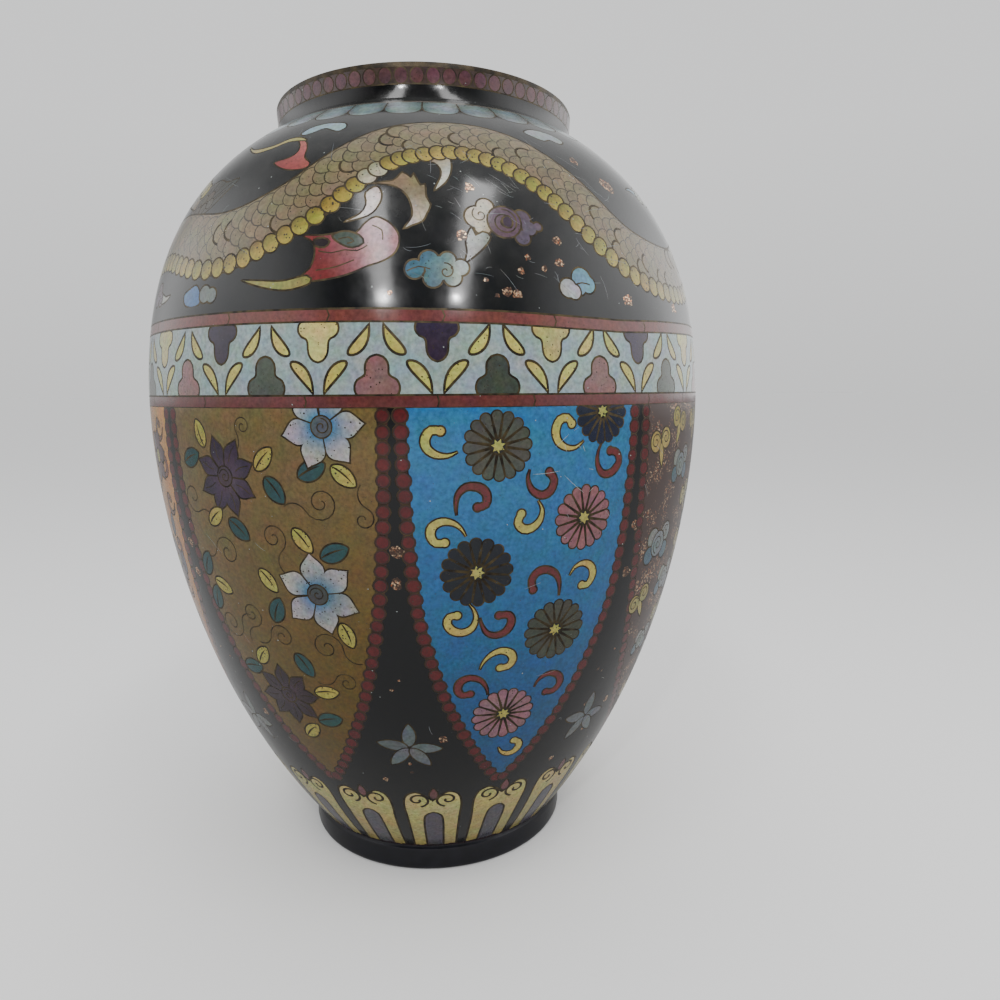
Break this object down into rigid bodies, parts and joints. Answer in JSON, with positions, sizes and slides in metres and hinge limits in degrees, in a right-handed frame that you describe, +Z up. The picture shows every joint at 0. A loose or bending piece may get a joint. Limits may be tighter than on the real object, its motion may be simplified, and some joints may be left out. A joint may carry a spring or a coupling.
{
  "type": "cloisonne jar",
  "caption": "Hollow ovoid copper jar covered in cloisonne enamel, with high full shoulders, a short open collar neck with a thin brass lip and a narrow foot ring.",
  "frame": {"origin": "on the jar's axis, at the level of the surface that the foot ring stands on", "axes": "+Z up along the axis, out of the mouth; -Y towards the side of the jar that the picture shows"},
  "size_m": [0.1134, 0.1134, 0.152],
  "materials": {
    "enamel": "polished glass enamel in many colours between fine brass wires, fused on copper",
    "foot_ring": "copper ring under dark blue-black enamel, with small pits",
    "lip_binding": "aged brass, dark and worn smooth"
  },
  "bodies": {
    "root": {"enamel_body": "enamel", "foot_ring": "foot_ring", "lip_binding": "lip_binding"}
  },
  "joints": []
}
